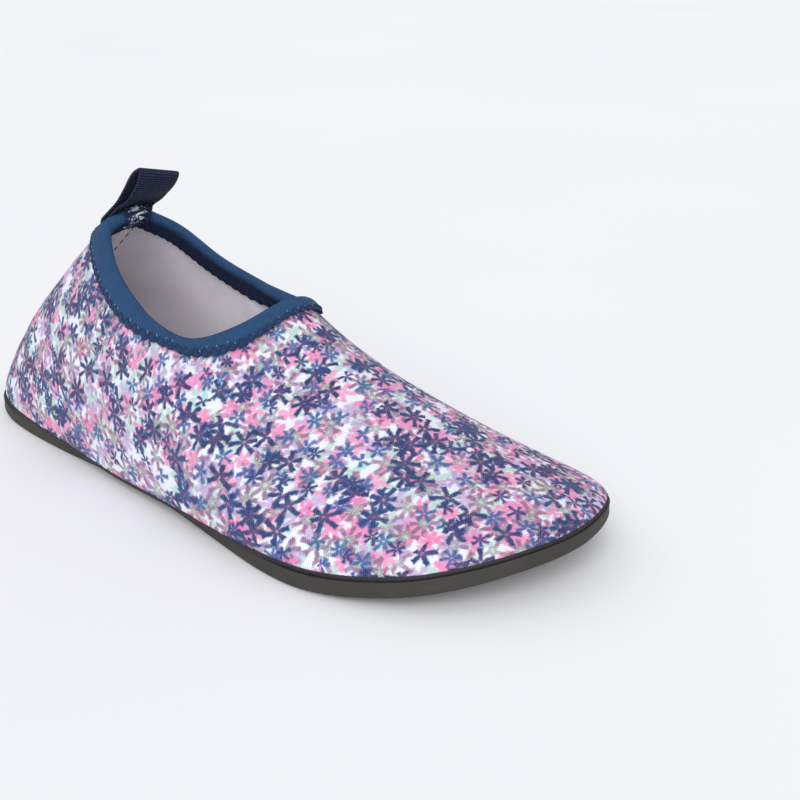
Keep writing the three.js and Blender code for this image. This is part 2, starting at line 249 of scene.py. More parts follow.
def outlinePoint(turn, offset, z):
    along = featherPoint(turn + nudge) - featherPoint(turn - nudge)
    out = Vector((along.y, -along.x, 0)).normalized()
    point = featherPoint(turn) + out * offset
    point.z = z(point.x)
    return point


def roundEvenly(pointAt, steps=720):
    reached = [0.0]
    for step in range(steps):
        reached.append(reached[-1] + (pointAt((step + 1) / steps) - pointAt(step / steps)).length)

    def turnAt(share):
        whole = math.floor(share)
        wanted = (share - whole) * reached[-1]
        i = min(max(bisect_right(reached, wanted) - 1, 0), steps - 1)
        return whole + (i + (wanted - reached[i]) / (reached[i + 1] - reached[i])) / steps

    return turnAt, reached[-1]


def toRow(point):
    return (point + Vector(last["place"])) * 0.001


# Modelling helpers


def shapedGrid(across, up, shape, unroll=(1, 1), closed=True):
    bm = bmesh.new()
    bmesh.ops.create_grid(bm, x_segments=across, y_segments=up, size=0.5)
    uvs = bm.loops.layers.uv.new("UVMap")
    spots = {v: (round(v.co.x + 0.5, 6), round(v.co.y + 0.5, 6)) for v in bm.verts}
    for face in bm.faces:
        for loop in face.loops:
            u, v = spots[loop.vert]
            loop[uvs].uv = (u * unroll[0], v * unroll[1])
    for vert, (u, v) in spots.items():
        vert.co = toRow(shape(u, v))
    if closed:
        bmesh.ops.remove_doubles(bm, verts=bm.verts, dist=1e-6)
    return bm


def joined(parts):
    whole = bmesh.new()
    for part in parts:
        mesh = bpy.data.meshes.new("part")
        part.to_mesh(mesh)
        part.free()
        whole.from_mesh(mesh)
        bpy.data.meshes.remove(mesh)
    bmesh.ops.remove_doubles(whole, verts=whole.verts, dist=1e-6)
    return whole


def addPiece(name, bm, materials, standsFor=()):
    mesh = bpy.data.meshes.new(name)
    bm.to_mesh(mesh)
    bm.free()
    mesh.shade_smooth()
    for material in materials:
        mesh.materials.append(material)
    piece = bpy.data.objects.new(name, mesh)
    bpy.context.scene.collection.objects.link(piece)
    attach(piece, "root")
    if standsFor:
        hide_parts(*standsFor)
    return piece


def addWall(piece, thickness, offset=-1.0, inside=0):
    wall = piece.modifiers.new("wall", "SOLIDIFY")
    wall.thickness = thickness * 0.001
    wall.offset = offset
    wall.material_offset = inside
    wall.material_offset_rim = inside


def addRounding(piece, levels):
    rounding = piece.modifiers.new("rounding", "SUBSURF")
    rounding.levels = levels
    rounding.render_levels = levels


def addThreads(name, runs, thickness, material):
    curve = bpy.data.curves.new(name, "CURVE")
    curve.dimensions = "3D"
    curve.bevel_depth = thickness * 0.0005
    curve.bevel_resolution = 1
    curve.use_fill_caps = True
    for run in runs:
        spline = curve.splines.new("POLY")
        spline.points.add(len(run) - 1)
        for knot, point in zip(spline.points, run):
            knot.co = (*toRow(point), 1)
    holder = bpy.data.objects.new(name + "Curve", curve)
    bpy.context.scene.collection.objects.link(holder)
    shown = holder.evaluated_get(bpy.context.evaluated_depsgraph_get())
    bm = bmesh.new()
    bm.from_mesh(shown.to_mesh())
    shown.to_mesh_clear()
    bpy.data.objects.remove(holder)
    return addPiece(name, bm, [material])


# Shader helpers


class Signal:
    def __init__(self, finish, socket):
        self.finish = finish
        self.socket = socket

    def maths(self, operation, *others):
        inputs = dict(enumerate((self, *others)))
        return self.finish.node("ShaderNodeMath", {"operation": operation}, inputs)

    def within(self):
        return self.finish.node("ShaderNodeClamp", {}, {"Value": self})

    def __add__(self, other):
        return self.maths("ADD", other)

    __radd__ = __add__

    def __sub__(self, other):
        return self.maths("SUBTRACT", other)

    def __rsub__(self, other):
        return self.maths("MULTIPLY_ADD", -1.0, other)

    def __mul__(self, other):
        return self.maths("MULTIPLY", other)

    __rmul__ = __mul__

    def __truediv__(self, other):
        return self.maths("DIVIDE", other)

    def __lt__(self, other):
        return self.maths("LESS_THAN", other)

    def __gt__(self, other):
        return self.maths("GREATER_THAN", other)


class Finish:
    def __init__(self, name):
        self.material = bpy.data.materials.new(name)
        self.material.use_nodes = True
        self.tree = self.material.node_tree
        self.tree.nodes.clear()

    def node(self, kind, settings=None, inputs=None, outputs=0):
        made = self.tree.nodes.new(kind)
        for setting, value in (settings or {}).items():
            setattr(made, setting, value)
        for socket, value in (inputs or {}).items():
            if isinstance(value, Signal):
                self.tree.links.new(value.socket, made.inputs[socket])
            else:
                made.inputs[socket].default_value = value
        if isinstance(outputs, tuple):
            return [Signal(self, made.outputs[name]) for name in outputs]
        return Signal(self, made.outputs[outputs]) if len(made.outputs) else None

    def blended(self, below, above, share):
        return self.node("ShaderNodeMix", {"data_type": "RGBA"}, {0: share, 6: below, 7: above}, 2)

    def vector(self, operation, *values):
        return self.node("ShaderNodeVectorMath", {"operation": operation}, dict(enumerate(values)))

    def millimetres(self, source):
        spot = self.node("ShaderNodeTexCoord", {}, {}, source)
        return self.node("ShaderNodeMapping", {}, {"Vector": spot, "Scale": (1000, 1000, 1000)})

    def axes(self, spot):
        return self.node("ShaderNodeSeparateXYZ", {}, {"Vector": spot}, ("X", "Y", "Z"))

    def grain(self, spot, pitch, detail=2.0, stretch=(1, 1, 1)):
        scale = tuple(side / pitch for side in stretch)
        sized = self.node("ShaderNodeMapping", {}, {"Vector": spot, "Scale": scale})
        return self.node("ShaderNodeTexNoise", {}, {"Vector": sized, "Scale": 1.0, "Detail": detail}, "Fac")

    def bump(self, height, depth):
        return self.node("ShaderNodeBump", {}, {"Height": height, "Distance": depth * 0.001}, "Normal")

    def surface(self, sockets):
        shader = self.node("ShaderNodeBsdfPrincipled", {}, sockets)
        self.node("ShaderNodeOutputMaterial", {}, {"Surface": shader})
        return self.material


def paint(code):
    parts = [int(code[i:i + 2], 16) / 255 for i in (1, 3, 5)]
    linear = [p / 12.92 if p <= 0.04045 else ((p + 0.055) / 1.055) ** 2.4 for p in parts]
    return (*linear, 1.0)


print("helpers ready")


# The print: loose flowers of flat brush strokes, in several colours laid over one another

printColours = {
    "ground": paint("#ecf0fc"),
    "weaveDepth": 0.1,
    "brushPitch": 1.3,  # waver of the strokes' edges
    "brushWaver": 0.9,
}

# Spacing, reach and widths in millimetres; share is the part of the places that hold a flower
flowerLayers = [
    {"spacing": 10.0, "shift": (3.0, 41.0), "share": 0.85, "petals": 4, "reach": 5.6, "width": 2.3,
     "hollow": 0.0, "colours": ("#bfdccb", "#b4d6d6"), "strength": 0.85, "strokes": None},
    {"spacing": 8.0, "shift": (57.0, 13.0), "share": 0.64, "petals": 5, "reach": 4.4, "width": 1.7,
     "hollow": 0.0, "colours": ("#b58fc6", "#c9a9d8"), "strength": 0.74, "strokes": None},
    {"spacing": 8.5, "shift": (31.0, 77.0), "share": 0.52, "petals": 5, "reach": 4.0, "width": 1.7,
     "hollow": 0.2, "colours": ("#f88cbd", "#f3a6cd"), "strength": 0.82, "strokes": None},
    {"spacing": 8.5, "shift": (83.0, 29.0), "share": 0.74, "petals": 6, "reach": 4.7, "width": 1.35,
     "hollow": 0.5, "colours": ("#9d6080", "#8b6688"), "strength": 0.86, "strokes": "#a9cdb6"},
    {"spacing": 8.5, "shift": (17.0, 59.0), "share": 0.45, "petals": 5, "reach": 3.3, "width": 1.5,
     "hollow": 0.2, "colours": ("#f784b9", "#ee94c2"), "strength": 0.86, "strokes": None},
    {"spacing": 9.0, "shift": (65.0, 5.0), "share": 0.54, "petals": 5, "reach": 4.6, "width": 1.3,
     "hollow": 0.4, "colours": ("#a46f88", "#8f6f98"), "strength": 0.8, "strokes": "#b2d2c0"},
    {"spacing": 8.0, "shift": (47.0, 91.0), "share": 0.6, "petals": 5, "reach": 3.1, "width": 1.2,
     "hollow": 0.2, "colours": ("#3d5aa6", "#2a6793"), "strength": 0.9, "strokes": None},
    {"spacing": 9.5, "shift": (71.0, 67.0), "share": 0.54, "petals": 5, "reach": 4.6, "width": 1.5,
     "hollow": 0.35, "colours": ("#202e68", "#1b4178"), "strength": 0.97, "strokes": "#6f4a78"},
    {"spacing": 10.5, "shift": (23.0, 37.0), "share": 0.46, "petals": 5, "reach": 4.8, "width": 1.6,
     "hollow": 0.35, "colours": ("#1f295f", "#1c427a"), "strength": 0.97, "strokes": "#6f4a78"},
    {"spacing": 8.0, "shift": (11.0, 19.0), "share": 0.42, "petals": 5, "reach": 2.7, "width": 1.0,
     "hollow": 0.1, "colours": ("#283268", "#2b3c80"), "strength": 0.95, "strokes": None},
]


def layFlowers(finish, cloth, below, layer):
    moved = finish.vector("ADD", cloth, (*layer["shift"], 0))
    cells = {"Vector": moved, "Scale": 1 / layer["spacing"], "Randomness": 0.9}
    centre, drawn = finish.node(
        "ShaderNodeTexVoronoi", {"voronoi_dimensions": "2D"}, cells, ("Position", "Color"))
    x, y = finish.axes(finish.vector("SUBTRACT", moved, centre))[:2]
    chance, size, spin = finish.node(
        "ShaderNodeSeparateColor", {}, {"Color": drawn}, ("Red", "Green", "Blue"))
    petals = (size * 2.99).maths("FLOOR") + layer["petals"]
    bearing = y.maths("ARCTAN2", x) / math.tau + spin * 7.3
    spoke = bearing * petals
    nearest = (spoke + 0.5).maths("FLOOR")
    petal = nearest.maths("FLOORED_MODULO", petals) * 1.7 + chance * 91.0
    length = finish.node("ShaderNodeTexWhiteNoise", {"noise_dimensions": "1D"}, {"W": petal}, "Value")
    aside = (spoke - nearest) / petals * math.tau
    distance = (x * x + y * y).maths("SQRT")
    along = distance * aside.maths("COSINE")
    across = (distance * aside.maths("SINE")).maths("ABSOLUTE")
    reach = (length * 0.45 + 0.68) * layer["reach"]
    half = (along / reach * 0.35 + 0.75) * (layer["width"] / 2)
    inside = (reach - along).maths("MINIMUM", half - across)
    inside = inside.maths("MINIMUM", along - layer["hollow"])
    present = (chance < layer["share"]) * (length > 0.07)
    stroke = (inside * 1.8 + 0.5).within() * present
    tint = finish.blended(paint(layer["colours"][0]), paint(layer["colours"][1]), spin)
    worn = finish.grain(moved, 1.1, stretch=(1.0, 0.4, 1.0)) * 0.6 + (layer["strength"] - 0.26)
    shown = finish.blended(below, tint, stroke * worn.within())
    if layer["strokes"]:
        thin = (reach * 0.4 - along).maths("MINIMUM", 0.26 - across)
        thin = (thin * 3.0 + 0.5).within() * present
        shown = finish.blended(shown, paint(layer["strokes"]), thin * 0.65)
    return shown


def makePrint():
    finish = Finish("printFabric")
    cloth = finish.millimetres("UV")
    scale = (1 / printColours["brushPitch"],) * 3
    sized = finish.node("ShaderNodeMapping", {}, {"Vector": cloth, "Scale": scale})
    waver = finish.node("ShaderNodeTexNoise", {}, {"Vector": sized, "Scale": 1.0, "Detail": 1.0}, "Color")
    waver = finish.vector("SUBTRACT", waver, (0.5, 0.5, 0.5))
    waver = finish.vector("MULTIPLY", waver, (printColours["brushWaver"],) * 3)
    brushed = finish.vector("ADD", cloth, waver)
    shown = printColours["ground"]
    for layer in flowerLayers:
        shown = layFlowers(finish, brushed, shown, layer)
    across, up = finish.axes(cloth)[:2]
    knit = (across * (math.tau / 0.75)).maths("SINE") * (up * (math.tau / 0.9)).maths("SINE")
    shown = finish.blended(shown, (0.93, 0.94, 1.0, 1.0), (knit * 0.07).within())
    roughness = finish.grain(cloth, 6.0) * 0.15 + 0.55
    return finish.surface({
        "Base Color": shown,
        "Roughness": roughness,
        "Normal": finish.bump(knit, printColours["weaveDepth"]),
        "Specular IOR Level": 0.3,
        "Sheen Weight": 0.05,
    })


liningColours = {"light": paint("#fbf6fd"), "shade": paint("#e6dce4"), "linePitch": 1.1, "depth": 0.04}


def makeLining():
    finish = Finish("liningKnit")
    cloth = finish.millimetres("UV")
    across, up = finish.axes(cloth)[:2]
    lines = ((across * 0.8 + up * 0.6) * (math.tau / liningColours["linePitch"])).maths("SINE")
    blotches = finish.grain(cloth, 26.0, 3.0)
    shade = (blotches * 1.2 - 0.3 + lines * 0.22).within()
    shown = finish.blended(liningColours["light"], liningColours["shade"], shade)
    return finish.surface({
        "Base Color": shown,
        "Roughness": 0.85,
        "Normal": finish.bump(lines + finish.grain(cloth, 0.5), liningColours["depth"]),
        "Sheen Weight": 0.1,
    })


# Binding tones: lit and deep mix as the knit's heather; deep also gives painted shade along the sewn outer
# edge, and inner is the inner face's darker tone with painted shade inside the collar
bindingColours = {
    "lit": paint("#2a547f"),
    "deep": paint("#193459"),
    "inner": paint("#131c3e"),
    "innerFrom": 9.6,  # along the band's section from its outer edge
    "depth": 0.4,
}


def makeBindingKnit():
    finish = Finish("bindingKnit")
    cloth = finish.millimetres("UV")
    across, up = finish.axes(cloth)[:2]
    ribs = (across * (math.tau / 0.8)).maths("SINE") * 0.5 + (up * (math.tau / 0.7)).maths("SINE") * 0.3
    fuzz = finish.grain(cloth, 0.5, 3.0)
    worn = finish.grain(cloth, 7.0)
    # darker towards the outer lower edge: partly the dark stitches, partly painted shade along the sewn edge
    sewn = ((2.6 - up) / 2.6).within()
    shade = (fuzz * 1.1 + worn * 0.5 - 0.45 + ribs * 0.05 + sewn * 0.55).within()
    shown = finish.blended(bindingColours["lit"], bindingColours["deep"], shade)
    # darker on the inner face: partly the band's darker inner fabric, partly painted shade inside the collar
    turned = ((up - bindingColours["innerFrom"] + fuzz) / 1.6).within()
    shown = finish.blended(shown, bindingColours["inner"], turned)
    return finish.surface({
        "Base Color": shown,
        "Roughness": 0.82,
        "Normal": finish.bump(ribs * 0.5 + fuzz * 1.8, bindingColours["depth"]),
        "Specular IOR Level": 0.3,
        "Sheen Weight": 0.1,
        "Sheen Tint": paint("#7fa6d8"),
    })


webbingColours = {"face": paint("#202c56"), "gap": paint("#090e26"), "fleck": paint("#3d5c9c"), "pitch": 0.95}


def makeWebbingWeave():
    finish = Finish("webbingWeave")
    cloth = finish.millimetres("UV")
    across, up = finish.axes(cloth)[:2]
    ribs = (up * (math.tau / webbingColours["pitch"])).maths("SINE")
    twill = ((across * 1.9 + up * 0.5) * (math.tau / 1.5)).maths("SINE")
    shade = (ribs * -0.5 + twill * 0.2 + 0.4).within()
    shown = finish.blended(webbingColours["face"], webbingColours["gap"], shade)
    flecks = (finish.grain(cloth, 0.5, 1.0, stretch=(0.6, 1.0, 1.0)) - 0.58) * 5.0
    shown = finish.blended(shown, webbingColours["fleck"], flecks.within() * 0.6)
    return finish.surface({
        "Base Color": shown,
        "Roughness": 0.62,
        "Normal": finish.bump(ribs * 0.7 + twill * 0.3, 0.6),
        "Specular IOR Level": 0.35,
    })


def makeThread(name, colour, tint):
    finish = Finish(name)
    spot = finish.millimetres("Object")
    twist = finish.grain(spot, 0.35, 1.0)
    shown = finish.blended(paint(colour), paint(tint), twist)
    return finish.surface({"Base Color": shown, "Roughness": 0.7, "Normal": finish.bump(twist, 0.08)})


rubberColours = {"face": paint("#3a3732"), "dark": paint("#2b2925"), "worn": paint("#4a463f")}


def makeRubber():
    finish = Finish("foamedRubber")
    spot = finish.millimetres("Object")
    pores = finish.grain(spot, 0.7, 3.0)
    patches = finish.grain(spot, 14.0, 2.0)
    shown = finish.blended(rubberColours["face"], rubberColours["dark"], (patches * 1.4 - 0.3).within())
    shown = finish.blended(shown, rubberColours["worn"], ((pores - 0.55) * 2.0).within())
    return finish.surface({
        "Base Color": shown,
        "Roughness": pores * 0.2 + 0.62,
        "Normal": finish.bump(pores, 0.12),
    })


cementColours = {"face": paint("#131116"), "worn": paint("#2c2930")}


def makeCement():
    finish = Finish("seamCement")
    spot = finish.millimetres("Object")
    grit = finish.grain(spot, 0.6, 3.0)
    shown = finish.blended(cementColours["face"], cementColours["worn"], grit)
    return finish.surface({
        "Base Color": shown,
        "Roughness": grit * 0.3 + 0.5,
        "Normal": finish.bump(grit, 0.2),
    })


insoleColours = {"light": paint("#bdb4c0"), "shade": paint("#a79daa"), "pitch": 0.9}


def makeInsoleFabric():
    finish = Finish("insoleFabric")
    cloth = finish.millimetres("Object")
    across, up = finish.axes(cloth)[:2]
    turned = math.tau / insoleColours["pitch"]
    weave = (across * turned).maths("SINE") * (up * turned).maths("SINE")
    shade = (finish.grain(cloth, 18.0) + weave * 0.15).within()
    shown = finish.blended(insoleColours["light"], insoleColours["shade"], shade)
    return finish.surface({"Base Color": shown, "Roughness": 0.88, "Normal": finish.bump(weave, 0.15)})


printFabric = makePrint()
liningKnit = makeLining()
bindingKnit = makeBindingKnit()
webbingWeave = makeWebbingWeave()
foamedRubber = makeRubber()
seamCement = makeCement()
insoleFabric = makeInsoleFabric()
navyThread = makeThread("navyThread", "#0e1432", "#1d2956")
whiteThread = makeThread("whiteThread", "#e9ebf2", "#b9bdcc")
# pale blue thread for the painted glints on the binding's stitches
glintThread = makeThread("glintThread", "#7f9ccb", "#4f74ae")
seamThread = makeThread("seamThread", "#2b282e", "#48444a")
print("finishes ready")


# Upper: one stretch fabric with its lining, closed at the back with a seam

upper = {
    "across": 264,
    "up": 46,
    "hidden": 1.0,  # how far below the collar's edge the fabric ends, under the binding
    "swell": 0.5,  # soft unevenness of the stretched fabric
    "backSeam": 0.5,  # depth of the seam at the heel
    "curled": 0.08,  # share of the side that curls under where the sole is tucked in
    "curlIn": 0.6,
    "curlDown": 0.6,
}

# Each crease runs through places on the upper: turn round the shoe, share of the way up to the binding
upperCreases = [
    {"path": [(0.186, 0.99), (0.181, 0.84), (0.176, 0.72), (0.166, 0.5)],
     "width": 2.6, "depth": 2.1, "ridge": 1.3},
    {"path": [(0.21, 0.95), (0.203, 0.8), (0.192, 0.66)], "width": 2.0, "depth": 1.0, "ridge": 0.5},
    {"path": [(0.221, 0.27), (0.23, 0.14), (0.236, 0.02)], "width": 2.4, "depth": 1.3, "ridge": 0.8},
    {"path": [(0.27, 0.98), (0.276, 0.88), (0.283, 0.77)], "width": 2.6, "depth": 0.9, "ridge": 0.5},
    {"path": [(0.15, 0.34), (0.163, 0.22), (0.176, 0.06)], "width": 3.4, "depth": 0.9, "ridge": 0.5},
    {"path": [(0.33, 0.9), (0.36, 0.7), (0.39, 0.56)], "width": 5.0, "depth": 0.5, "ridge": 0.3},
    {"path": [(0.43, 0.62), (0.455, 0.5), (0.5, 0.42)], "width": 5.5, "depth": 0.6, "ridge": 0.35},
    {"path": [(0.39, 0.4), (0.42, 0.3), (0.46, 0.24)], "width": 5.0, "depth": 0.4, "ridge": 0.25},
    {"path": [(0.81, 0.98), (0.806, 0.8), (0.8, 0.62)], "width": 2.8, "depth": 0.9, "ridge": 0.6},
    {"path": [(0.76, 0.3), (0.765, 0.16), (0.77, 0.03)], "width": 2.6, "depth": 0.6, "ridge": 0.4},
    {"path": [(0.69, 0.95), (0.66, 0.75), (0.63, 0.6)], "width": 4.5, "depth": 0.5, "ridge": 0.3},
]


def creaseRelief(point, out, path, crease):
    closest, side, travelled = 1e9, 0.0, 0.0
    for number, (start, end) in enumerate(zip(path, path[1:])):
        run = end - start
        share = min(max((point - start).dot(run) / run.length_squared, 0), 1)
        gap = point - start - run * share
        if gap.length < closest:
            closest = gap.length
            side = math.copysign(1, gap.dot(run.cross(out)))
            travelled = (number + share) / (len(path) - 1)
    if closest > crease["width"] * 4:
        return 0.0
    away = closest * side / crease["width"]
    fade = math.sin(math.pi * min(max(0.12 + travelled * 0.88, 0), 1)) ** 0.8
    trough = -crease["depth"] * math.exp(-away * away)
    ridges = crease["ridge"] * (math.exp(-(away - 1.7) ** 2) + 0.5 * math.exp(-(away + 1.7) ** 2))
    return (trough + ridges) * fade


creasePaths = [[ribPoint(turn, share * bindingEdge(turn)) for turn, share in c["path"]] for c in upperCreases]


def upperPoint(turn, share):
    rise = share * riseBelow(turn, upper["hidden"])
    point = ribPoint(turn, rise)
    up, out = ribFrame(turn, rise)
    held = math.sin(math.pi * min(share * 1.04, 1)) ** 0.5 if share * 1.04 < 1 else 0.0
    relief = sum(creaseRelief(point, out, path, c) for path, c in zip(creasePaths, upperCreases))
    relief += upper["swell"] * noise.noise(point * 0.035) + 0.4 * upper["swell"] * noise.noise(point * 0.09)
    back = min(turn % 1, 1 - turn % 1) * 560
    relief -= upper["backSeam"] * math.exp(-(back / 1.2) ** 2)
    curl = max(1 - share / upper["curled"], 0) ** 2
    tucked = soleTuck(turn)
    point = point - out * curl * tucked * upper["curlIn"]
    point.z -= curl * tucked * upper["curlDown"]
    return point + out * relief * held


def unwrapUpper(piece):
    bpy.context.view_layer.objects.active = piece
    piece.select_set(True)
    bpy.ops.object.mode_set(mode="EDIT")
    bpy.ops.mesh.select_all(action="SELECT")
    bpy.ops.uv.unwrap(method="MINIMUM_STRETCH", iterations=20, margin=0.0)
    bpy.ops.object.mode_set(mode="OBJECT")
    piece.select_set(False)
    bm = bmesh.new()
    bm.from_mesh(piece.data)
    uvs = bm.loops.layers.uv.active
    flat = 0.0
    for face in bm.faces:
        corners = [loop[uvs].uv for loop in face.loops]
        flat += abs(sum(a.cross(b) for a, b in zip(corners, corners[1:] + corners[:1]))) / 2
    metres = math.sqrt(sum(face.calc_area() for face in bm.faces) / flat)
    for face in bm.faces:
        for loop in face.loops:
            loop[uvs].uv *= metres
    bmesh.ops.remove_doubles(bm, verts=bm.verts, dist=1e-6)
    bm.to_mesh(piece.data)
    bm.free()
    piece.data.shade_smooth()
    print("upper laid flat:", round(metres, 4), "m a side")


fabric = shapedGrid(upper["across"], upper["up"], upperPoint, closed=False)
upperShell = addPiece("upper_shell", fabric, [printFabric, liningKnit], ("upper",))
unwrapUpper(upperShell)
addWall(upperShell, last["wall"], inside=1)
print("upper ready")


# Collar binding: a knit band folded over the edge and held by zigzag stitches

binding = {
    "thickness": 1.0,
    "across": 520,
    "up": 30,
    "fold": 1.75,  # radius of the fold at its middle
    "frontFold": 1.5,
    "frontRaise": 1.3,  # how much shorter the outer face is over the instep
    "puff": 0.6,
    "stitches": 76,  # round the collar
    "scallop": 0.28,
}
collarTurn, collarLength = roundEvenly(collarPoint)
lowBand = last["bindingWidth"] - 0.9
bandLength = 2 * lowBand + math.pi * binding["fold"]


def frontness(turn):
    return ease(0.3, 0.47, 0.5 - abs(turn % 1 - 0.5))


def bandPoint(turn, below, side, lifted):
    rest = last["clearance"] + binding["thickness"] / 2
    depth = min(below / last["bindingWidth"], 1)
    bulge = binding["puff"] * math.sin(math.pi * depth) if side > 0 else 0.0
    offset = rest + bulge * (1 - 0.6 * frontness(turn)) + lifted
    rise = 1 - (1 - bindingEdge(turn)) * below / last["bindingWidth"]
    return skinPoint(turn, rise, offset if side > 0 else -last["wall"] - offset)


def bindingPoint(share, travelled, lifted=0.0):
    turn = collarTurn(share)
    pull = binding["scallop"] * math.cos(math.tau * binding["stitches"] * share)
    front = frontness(turn)
    if travelled < lowBand:
        edge = 1 - travelled / lowBand
        lifted -= 0.25 * max(edge, 0) ** 6
        shorter = (binding["frontRaise"] * front - pull) * edge ** 3
        return bandPoint(turn, last["bindingWidth"] - travelled - shorter, 1, lifted)
    if travelled < bandLength - lowBand:
        angle = (travelled - lowBand) / binding["fold"]
        radius = mix(binding["fold"], binding["frontFold"], front) + lifted
        return aboveEdge(turn, -last["wall"] / 2 + radius * math.cos(angle), radius * math.sin(angle) - 0.9)
    edge = (travelled - bandLength) / lowBand + 1
    lifted -= 0.25 * edge ** 6
    return bandPoint(turn, 0.9 + edge * lowBand - pull * edge ** 3, -1, lifted)


band = shapedGrid(
    binding["across"], binding["up"], lambda u, v: bindingPoint(u, v * bandLength),
    (collarLength * 0.001, bandLength * 0.001))
bindingBand = addPiece("binding_band", band, [bindingKnit], ("collar_binding",))
addWall(bindingBand, binding["thickness"], 0.0)


def zigzag(low, high):
    run = []
    holes = binding["stitches"] * 2
    for hole in range(holes):
        here, after = ((high, low), (low, high))[hole % 2]
        for share, lifted in ((0, 0.38), (0.25, 0.6), (0.5, 0.66), (0.75, 0.6)):
            run.append(bindingPoint((hole + share) / holes, mix(here, after, share), lifted))
    return run + run[:1]


sewn = [zigzag(0.1, 2.5), zigzag(bandLength - 0.1, bandLength - 3.0)]
addThreads("binding_stitches", sewn, 0.42, navyThread)

dice = random.Random(7)
# short pale threads along the stitched edge of the binding: painted glints on the stitches
flecks = []
for stitch in range(binding["stitches"]):
    if dice.random() < 0.85:
        start = (stitch + dice.uniform(0.2, 0.7)) / binding["stitches"]
        end = start + dice.uniform(-0.0016, 0.0016)
        travelled = dice.uniform(1.0, 2.4)
        flecks.append([bindingPoint(start, travelled, 0.52), bindingPoint(end, travelled + 0.7, 0.52)])
addThreads("binding_glints", flecks, 0.28, glintThread)
print("binding ready")


# Pull loop and heel tape: one webbing, folded above the collar and sewn down the heel's back

webbing = {
    "width": 14.5,
    "thickness": 1.1,
    "rise": 14.0,
    "lean": 14.5,
    "opening": 3.2,
    "twist": 18.0,  # degrees from its seat to its fold
    "loopRows": 96,
    "tapeRows": 44,
    "across": 14,
}


def curveThrough(points):
    first = points[0] * 2 - points[1]
    final = points[-1] * 2 - points[-2]
    knots = [first, *points, final]

    def at(share):
        spot = min(max(share, 0), 1) * (len(points) - 1)
        i = min(int(spot), len(points) - 2)
        f = spot - i
        a, b, c, d = knots[i:i + 4]
        before, step, after = [max((q - p).length, 1e-4) ** 0.5 for p, q in ((a, b), (b, c), (c, d))]
        leave = ((b - a) / before - (c - a) / (before + step) + (c - b) / step) * step
        arrive = ((c - b) / step - (d - b) / (step + after) + (d - c) / after) * step
        g = 1 - f
        near = b * (g * g * (1 + 2 * f)) + leave * (g * g * f)
        return near + c * (f * f * (3 - 2 * f)) - arrive * (f * f * g)

    return at


def loopRows():
    up, out = ribFrame(0, 1)
    edge = collarPoint(0)
    seat = 2 * last["clearance"] + binding["thickness"] + webbing["thickness"] / 2
    outerLeg = webbing["thickness"] + last["clearance"]
    above = last["clearance"] + binding["thickness"] + webbing["thickness"]
    back = Vector((out.x, out.y, 0)).normalized()
    fold = edge - back * webbing["lean"]
    fold.z = edge.z + webbing["rise"]
    lean = (fold - edge).normalized()
    apart = (back - lean * back.dot(lean)).normalized()

    def onHeel(offset, height):
        return edge + out * (seat + offset) + up * height

    def near(share, offset):
        return edge.lerp(fold, share) + apart * offset

    path = curveThrough([
        skinPoint(0, bindingEdge(0), seat),
        onHeel(0, 0),
        onHeel(0, above),
        near(0.4, 0),
        near(0.8, 0),
        near(1, webbing["opening"] / 2),
        near(0.8, webbing["opening"]),
        near(0.4, webbing["opening"]),
        onHeel(outerLeg, above),
        onHeel(outerLeg, 0),
        skinPoint(0, bindingEdge(0), seat + outerLeg),
    ])
    level = Vector((back.y, -back.x, 0))
    tapeTop = bindingEdge(0)
    rows = []
    for number in range(webbing["loopRows"] + 1):
        point = path(number / webbing["loopRows"])
        risen = min(max((point.z - edge.z - above) / webbing["rise"], 0), 1)
        width = Matrix.Rotation(-math.radians(webbing["twist"]) * risen, 3, lean) @ level
        seated = min(max((point.z - path(0).z) / (edge.z - path(0).z), 0), 1)
        rise = mix(tapeTop, 1, seated)
        row = []
        for column in range(webbing["across"] + 1):
            aside = (column / webbing["across"] - 0.5) * webbing["width"]
            pace = (ribPoint(nudge, rise) - ribPoint(-nudge, rise)).length / (2 * nudge)
            wrapped = skinPoint(-aside / pace, rise, seat) - skinPoint(0, rise, seat)
            row.append(point + mix(wrapped, width * aside, ease(0, 0.35, risen)))
        rows.append(row)
    soft = riseBelow(0, last["bindingWidth"] + 5)
    for number in range(1, webbing["tapeRows"] + 1):
        rise = tapeTop * (1 - number / webbing["tapeRows"])
        pace = (ribPoint(nudge, rise) - ribPoint(-nudge, rise)).length / (2 * nudge)
        offset = mix(last["clearance"] + webbing["thickness"] / 2, seat + outerLeg, ease(soft, tapeTop, rise))
        row = []
        for column in range(webbing["across"] + 1):
            aside = (column / webbing["across"] - 0.5) * webbing["width"]
            row.append(skinPoint(-aside / pace, rise, offset))
        rows.append(row)
    return rows


def makeWebbing():
    rows = loopRows()
    reached = [0.0]
    for before, after in zip(rows, rows[1:]):
        middle = webbing["across"] // 2
        reached.append(reached[-1] + (after[middle] - before[middle]).length)
    bm = shapedGrid(
        webbing["across"], len(rows) - 1,
        lambda u, v: rows[round(v * (len(rows) - 1))][round(u * webbing["across"])])
    uvs = bm.loops.layers.uv.active
    for face in bm.faces:
        for loop in face.loops:
            u, v = loop[uvs].uv
            loop[uvs].uv = (u * webbing["width"] * 0.001, reached[round(v * (len(rows) - 1))] * 0.001)
    piece = addPiece("loop_webbing", bm, [webbingWeave], ("pull_loop", "heel_tape"))
    addWall(piece, webbing["thickness"], 0.0)
    addRounding(piece, 1)


makeWebbing()
print("webbing ready")


# Bartack over the fold of the binding, loose navy threads beside it, and the welt of the back seam

